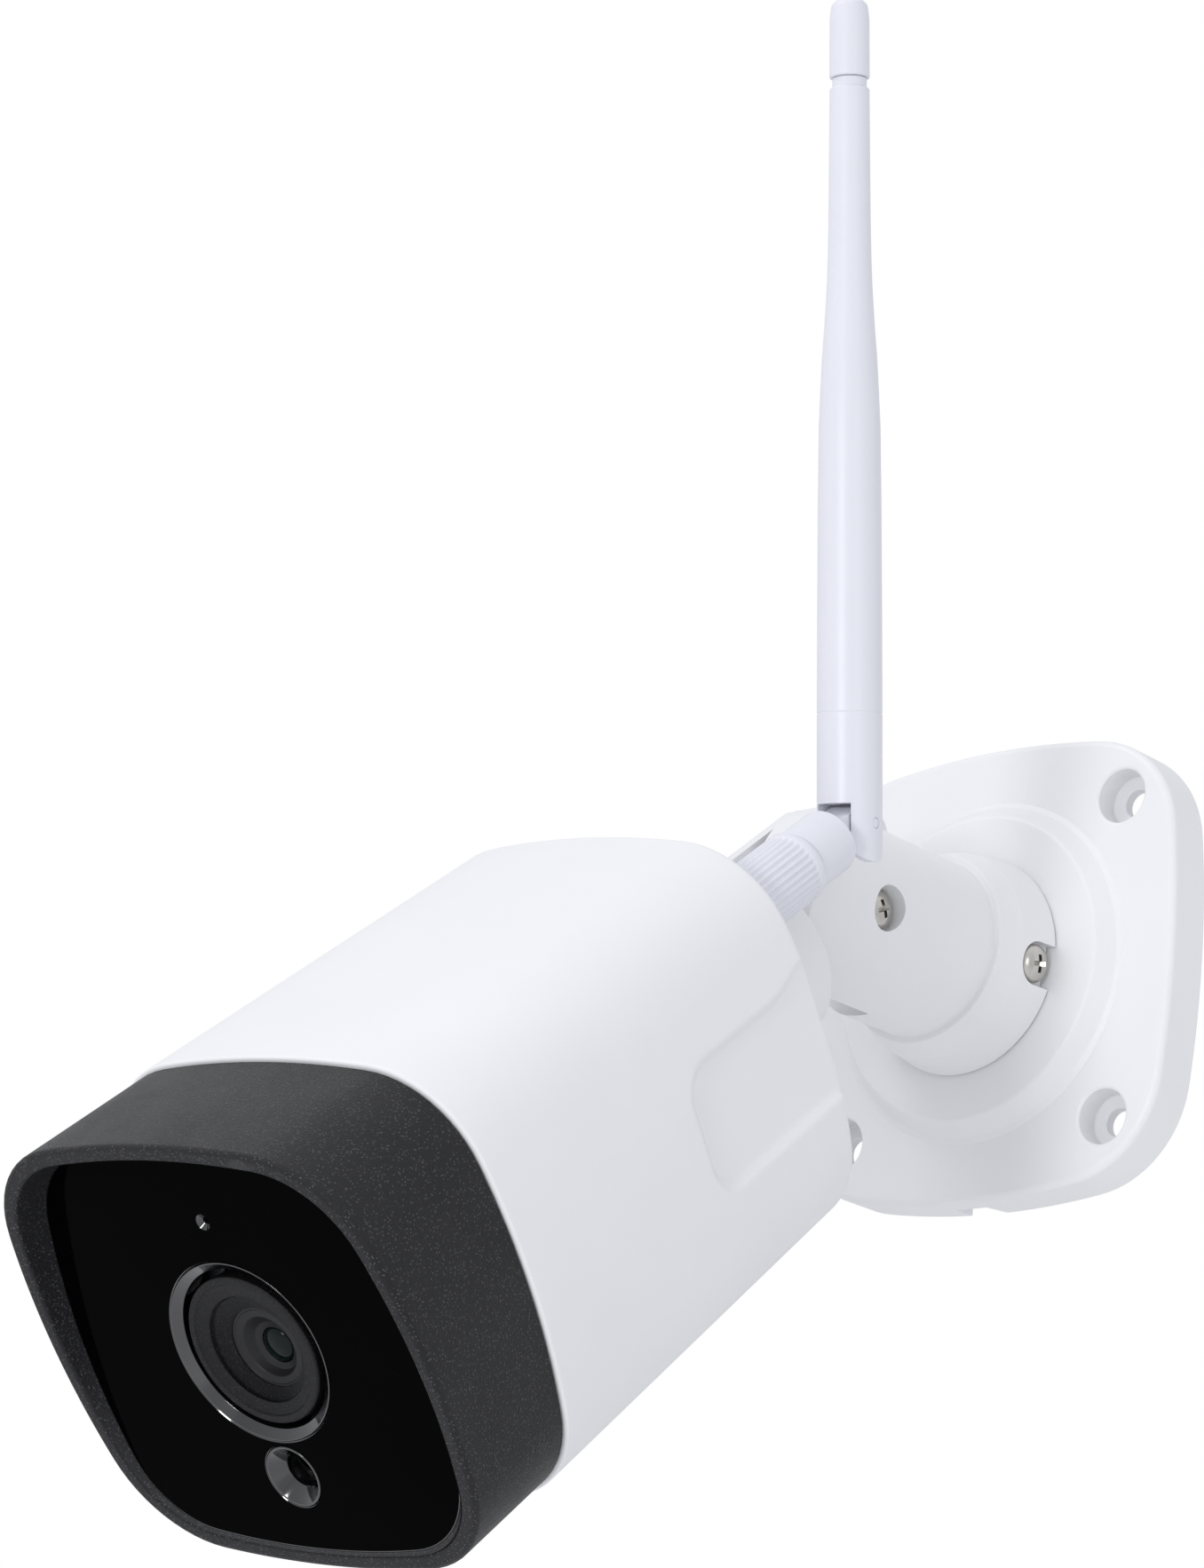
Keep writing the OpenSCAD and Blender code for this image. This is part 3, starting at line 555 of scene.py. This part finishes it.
for x, z in REAR_SCREWS:
    rear = cut(rear, moved(lathe(seat, 48), T(x, 0, z)))
piece("rear_plate", rear, HEAD, "rear_cover", sharp=30)


# ---------------------------------------------------------------- cross-recessed screws
def turn(angle):
    return Matrix.Rotation(angle, 4, "Z")


def screw_head(r, h):
    pts = [(0, 0), (r * 0.94, 0), (r, 0.06 * r), (r, h * 0.3)]
    arc = [math.pi / 2 * i / 9 for i in range(1, 9)]
    pts += [(r * math.cos(t), h * 0.3 + h * 0.7 * math.sin(t)) for t in arc]
    pts += [(0, h)]
    bm = moved(lathe(pts, 64), Y_TO_UP)
    for a in (0, 90):
        b = block(-r * 0.6, r * 0.6, -r * 0.13, r * 0.13, h * 0.35, h * 1.3)
        for v in b.verts:
            if v.co.z < h * 0.5:
                v.co.x *= 0.45
                v.co.y *= 0.8
        bm = boolean(bm, moved(b, turn(math.radians(a))))
    return bm


def shank(r, length):
    """A threaded shank, down from the origin."""
    pts = [(0, -length), (r * 0.7, -length)]
    n = int(length / 0.5)
    for i in range(n):
        y = -length + 0.3 + i * 0.5
        if y > -0.5:
            break
        pts += [(r * 0.82, y), (r, y + 0.25)]
    return moved(lathe(pts + [(r, -0.3), (r, 0.02), (0, 0.02)], 32), Y_TO_UP)


def screw(r, h, sr, length):
    """A cross-recessed pan head of radius r and height h on a threaded shank, head up."""
    return boolean(screw_head(r, h), shank(sr, length), "UNION")


piece("tilt_screw_full", screw(2.95, 1.9, 1.5, 22), PIVOT @ T(10.65, 0, 0) @ RY(90) @ turn(0.5),
      "tilt_screw", sharp=30)
piece("lock_screw_full", screw(2.95, 1.9, 1.5, 4), LOCK @ RY(90) @ T(0, 0, 15.05) @ turn(0.2),
      "pan_lock_screw", sharp=30)
piece("rear_screws", merged(*[moved(screw(2.4, 1.3, 1.2, 8), T(x, 84.35, z) @ UP_TO_Y)
                              for x, z in REAR_SCREWS]), HEAD,
      "rear_cover_screws", sharp=30)
piece("cover_screws", merged(*[moved(screw(1.9, 0.95, 0.95, 3.2),
                                     T(0, w, -HALF_H * share(w) + 1.35) @ RX(180))
                               for w in COVER_SCREWS]), HEAD, "card_cover_screws", sharp=30)


# ---------------------------------------------------------------- wall plate
def plate_ring(y, inset):
    """The wall plate's outline at y, drawn in by inset."""
    o = outline(36 - inset, 36.2 - inset, 3, 4, 17.4 - inset, 16, 16, 16)
    return [(x, y, z) for x, z in o]


pts = fillet([(4, -8), (0, -8), (0, 0), (4, 0)], [0, 1.1, 0.3, 0], 6, closed=False)
wall = loft([plate_ring(y, i) for i, y in pts])
tier = lathe(fillet([(0, -6), (27.2, -6), (27.2, -8.0), (26.24, -8.43), (24.12, -11.03), (0, -11.03)],
                    [0, 0, 0.3, 0.9, 1.0, 0], 5, closed=False), 128)
wall = boolean(wall, tier, "UNION")
wall = boolean(wall, rod(-19, -6, 11.9), "UNION")
pocket = loft([[(x, y, z) for x, z in outline(33.4, 33.6, 3, 4, 14.8, 12, 12, 12)] for y in (-5, 2)])
CORNERS = [(x, z) for x in (-25, 25) for z in (-25, 25)]
for x, z in CORNERS:
    pocket = cut(pocket, moved(rod(-6, 3, 6.2, 48), T(x, 0, z)))
pocket = cut(pocket, rod(-6, 3, 14))
for a in (0, 180, 270):
    pocket = cut(pocket, moved(block(10, 40, -6, 3, -0.8, 0.8), RY(a)))
wall = cut(wall, rod(-30, 5, 6.5))
wall = cut(wall, lathe([(13, -16.05), (13, -12.55), (10.7, -12.55), (10.7, -16.05)], 96, True))
hole = [(0, -12), (4.75, -12), (4.75, -8.001), (4.48, -7.92), (4.27, -7.72), (4.2, -7.45), (4.2, -3.9),
        (4.0, -3.7), (2.3, -3.6), (2.2, -3.5), (2.2, -1.9), (4.4, -1.9), (4.4, 3), (0, 3)]
for x, z in CORNERS:
    wall = cut(wall, moved(lathe(hole, 64), T(x, 0, z)))
notch = prism([(-4.15, -39), (-4.15, -32.5), (3.35, -32.5), (3.35, -39)], -4.2, 2)
for v in notch.verts:
    if v.co.y < -4 and v.co.x > 0:
        v.co.x -= 1.6
wall = cut(wall, notch, pocket)
piece("wall_plate", wall, WALL, "base_plate", sharp=28)

# ---------------------------------------------------------------- arm and neck
ACROSS = PIVOT @ Y_TO_X
HOLLOW = [(7.4, -6), (7.4, 6), (3.6, 6), (3.6, -6)]       # cable space inside the knuckle
prof = fillet([(0, -11.2), (17.23, -11.2), (16.23, -18.0), (14.79, -21.95), (13.8, -22.1),
               (13.8, -70), (0, -70)], [0, 0.35, 0.8, 0.35, 0.2, 0, 0], 5, closed=False)
arm = lathe(prof, 128)
far = boolean(block(0.3, 30, -90, -46.2, -30, 30), moved(rod(-1, 40, 16.2, 160), ACROSS))
left = boolean(block(-30, 0.3, -90, -47.6, -30, 30), moved(rod(-40, 1, 16.45, 160), ACROSS), "UNION")
arm = cut(arm, far, left)
arm = cut(arm, rod(-19.3, 0, 11.95), rod(-42.1, 0, 5.5),
          moved(lathe(HOLLOW, 64, True), ACROSS),
          moved(lathe([(0, -4), (1.6, -4), (1.6, 10.6), (3.35, 10.6), (3.35, 30), (0, 30)], 64), ACROSS),
          moved(lathe([(0, 2), (1.6, 2), (1.6, 15), (3.35, 15), (3.35, 30), (0, 30)], 64), LOCK @ Y_TO_X),
          moved(block(15, 30, -14.3, -9, -3.33, 3.33), RY(8)))
piece("arm", arm, WALL, "pan_yoke", bevel=0.3, sharp=30)

prof = fillet([(0, 76), (8.9, 76), (8.9, 90.8), (14.8, 90.8), (14.8, 112.9), (12.8, 112.9),
               (12.8, 152), (0, 152)], [0, 0.4, 0, 0.5, 0.7, 0.15, 0, 0], 5, closed=False)
neck = lathe(prof, 128)
neck = moved(cut(neck, block(-0.3, 40, 112.95, 200, -40, 40)), NECK)
beyond = moved(block(-30, 1, 131.2, 200, -40, 40), NECK)
beyond = boolean(beyond, moved(rod(-40, 2, 16.2, 160), ACROSS))
neck = cut(neck, beyond, moved(rod(70, 125.2, 5.5, 64), NECK),
           moved(lathe(HOLLOW, 64, True), ACROSS),
           moved(rod(-20, 4, 1.6, 32), ACROSS),
           moved(lathe([(0, -30), (3.3, -30), (3.3, -8.8), (0, -8.8)], 6), ACROSS))
piece("neck", neck, WALL, "tilt_neck", bevel=0.3, sharp=30)

# ---------------------------------------------------------------- antenna
RIBS = 34


def knurl(i, a):
    """The depth of the ribs at angle a on point i of the ring's profile."""
    if not 89.3 < prof[i][1] < 101.9 or prof[i][0] < 4:
        return 0
    return -0.25 * (0.5 - 0.5 * max(-1, min(1, 1.8 * math.cos(RIBS * a))))


prof = [(3.15, 88.6), (4.9, 88.6), (5.12, 88.8), (5.2, 89.2), (5.22, 89.5)]
prof += [(5.25, 89.8 + i * 1.0) for i in range(12)] + [(5.22, 101.7), (5.2, 102.0)]
prof += [(5.25, 102.1), (5.27, 102.4), (5.27, 103.2), (5.15, 103.5), (4.95, 103.6),
         (2.56, 103.6), (2.56, 97.4), (3.15, 97.4)]
piece("knurled_ring", lathe(prof, RIBS * 8, closed=True, wave=knurl), ANT, "antenna_ring", sharp=50)

foot = lathe(fillet([(0, 97), (2.5, 97), (2.5, 103.9), (4.75, 103.9), (4.75, 112.2), (0, 112.2)],
                    [0, 0, 0, 0.5, 0.35, 0], 4, closed=False), 96)
hinge = T(0, HINGE_Y, 0) @ Y_TO_X
tongue = boolean(block(-2.55, 2.55, 110, HINGE_Y, -2.6, 2.6),
                 moved(rod(-2.55, 2.55, 2.6, 64), hinge), "UNION")
foot = boolean(foot, tongue, "UNION")
foot = cut(foot, moved(rod(-6, 6, 0.85, 32), hinge))
foot = boolean(foot, rod(96.3, 97.1, 2.85, 48), "UNION")
piece("antenna_foot_body", foot, ANT, "antenna_base", bevel=0.2)

TIP = 117.5
prof = fillet([(0, -8), (4.6, -8), (4.6, 15.3), (4.52, 15.5), (4.6, 15.7), (4.56, 30), (4.48, 45),
               (4.36, 56), (4.15, 61), (3.9, 66), (3.6, 70), (3.35, 74), (3.2, 77), (3.1, 80),
               (3.0, 85), (2.95, 90), (2.83, TIP - 13.1), (2.45, TIP - 12.9), (2.45, TIP - 11.6),
               (0, TIP - 11.6)], [0] * 16 + [0.3, 0.1, 0, 0], 3, closed=False)
mast = moved(lathe(prof, 96), Y_TO_UP)
around = boolean(block(-9, 9, -9, 9, -12, 0), moved(rod(-12, 12, 5.4, 96), Y_TO_X))
slot = block(-2.85, 2.85, -9, 9, -12, 2.7)
mast = cut(mast, around, slot, moved(rod(2, 99.5, 1.6, 32), Y_TO_UP), moved(rod(-9, 9, 0.8, 32), Y_TO_X))
piece("mast", mast, MAST, "antenna_mast", bevel=0.22, sharp=32)
prof = fillet([(0, TIP - 11.5), (2.86, TIP - 11.5), (2.82, TIP - 3), (2.6, TIP - 1.0), (1.6, TIP),
               (0, TIP)], [0, 0.25, 2.0, 1.2, 1.0, 0], 6, closed=False)
piece("mast_cap", moved(lathe(prof, 96), Y_TO_UP), MAST, "antenna_cap")
prof = fillet([(0, -4.54), (0.79, -4.54), (0.79, 4.54), (0, 4.54)], [0, 0.2, 0.2, 0], 3, closed=False)
piece("hinge_pin", moved(lathe(prof, 32), Y_TO_X), MAST, "antenna_pin")

# ---------------------------------------------------------------- camera
cam_data = bpy.data.cameras.new("camera")
cam = bpy.data.objects.new("camera", cam_data)
scene.collection.objects.link(cam)
right = Vector((0.73524641, 0.67091286, 0.09637761))
up = Vector((0.14547315, -0.29507748, 0.94433407))
fwd = Vector((-0.66200474, 0.68029788, 0.31455447))
cam.matrix_world = Matrix((
    (right.x, up.x, -fwd.x, 0.37792),
    (right.y, up.y, -fwd.y, -0.47929),
    (right.z, up.z, -fwd.z, -0.17401),
    (0, 0, 0, 1)))
cam_data.sensor_width = 36
cam_data.lens = 93.55
cam_data.shift_x = -0.0111
cam_data.shift_y = -0.0033
cam_data.clip_start = 0.01
cam_data.clip_end = 10
scene.camera = cam

# ---------------------------------------------------------------- light
world = bpy.data.worlds.new("world")
scene.world = world
world.use_nodes = True
nt = world.node_tree
soft = nt.nodes["Background"]
plain = nt.nodes.new("ShaderNodeBackground")
plain.inputs["Color"].default_value = (1, 1, 1, 1)
pick = nt.nodes.new("ShaderNodeMixShader")
rays = nt.nodes.new("ShaderNodeLightPath")
where = nt.nodes.new("ShaderNodeTexCoord")
part = nt.nodes.new("ShaderNodeSeparateXYZ")
sky = nt.nodes.new("ShaderNodeValToRGB")
span = nt.nodes.new("ShaderNodeMapRange")
span.inputs["From Min"].default_value = -1
nt.links.new(where.outputs["Generated"], part.inputs["Vector"])
nt.links.new(part.outputs["Z"], span.inputs["Value"])
nt.links.new(span.outputs["Result"], sky.inputs["Fac"])
e = sky.color_ramp.elements
e[0].position, e[0].color = 0.25, (0.50, 0.51, 0.54, 1)
e[1].position, e[1].color = 0.85, (0.86, 0.87, 0.90, 1)
nt.links.new(sky.outputs["Color"], soft.inputs["Color"])
nt.links.new(rays.outputs["Is Camera Ray"], pick.inputs["Fac"])
nt.links.new(soft.outputs["Background"], pick.inputs[1])
nt.links.new(plain.outputs["Background"], pick.inputs[2])
nt.links.new(pick.outputs["Shader"], nt.nodes["World Output"].inputs["Surface"])


def area(name, loc, target, size, power):
    d = bpy.data.lights.new(name, "AREA")
    d.shape = "DISK"
    d.size = size
    d.energy = power
    o = bpy.data.objects.new(name, d)
    scene.collection.objects.link(o)
    o.location = loc
    o.rotation_euler = (Vector(target) - Vector(loc)).to_track_quat("-Z", "Y").to_euler()
    return o


area("key", (-0.35, -0.75, 0.95), (0, -0.06, 0), 0.55, 2.5)
area("side", (1.1, -0.45, -0.1), (0, -0.06, 0), 0.6, 1.2)
area("front", (0.22, -1.05, -0.17), (0.01, -0.05, -0.02), 0.24, 2.6)

# ---------------------------------------------------------------- floor
bm = bmesh.new()
bmesh.ops.create_grid(bm, x_segments=1, y_segments=1, size=3)
me = bpy.data.meshes.new("floor")
bm.to_mesh(me)
floor = bpy.data.objects.new("floor", me)
scene.collection.objects.link(floor)
floor.location = (0, 0, -0.6)
me.materials.append(material("floor", (0.85, 0.85, 0.85), 0.8, grain=3, bump=0.02, vary=0.01))
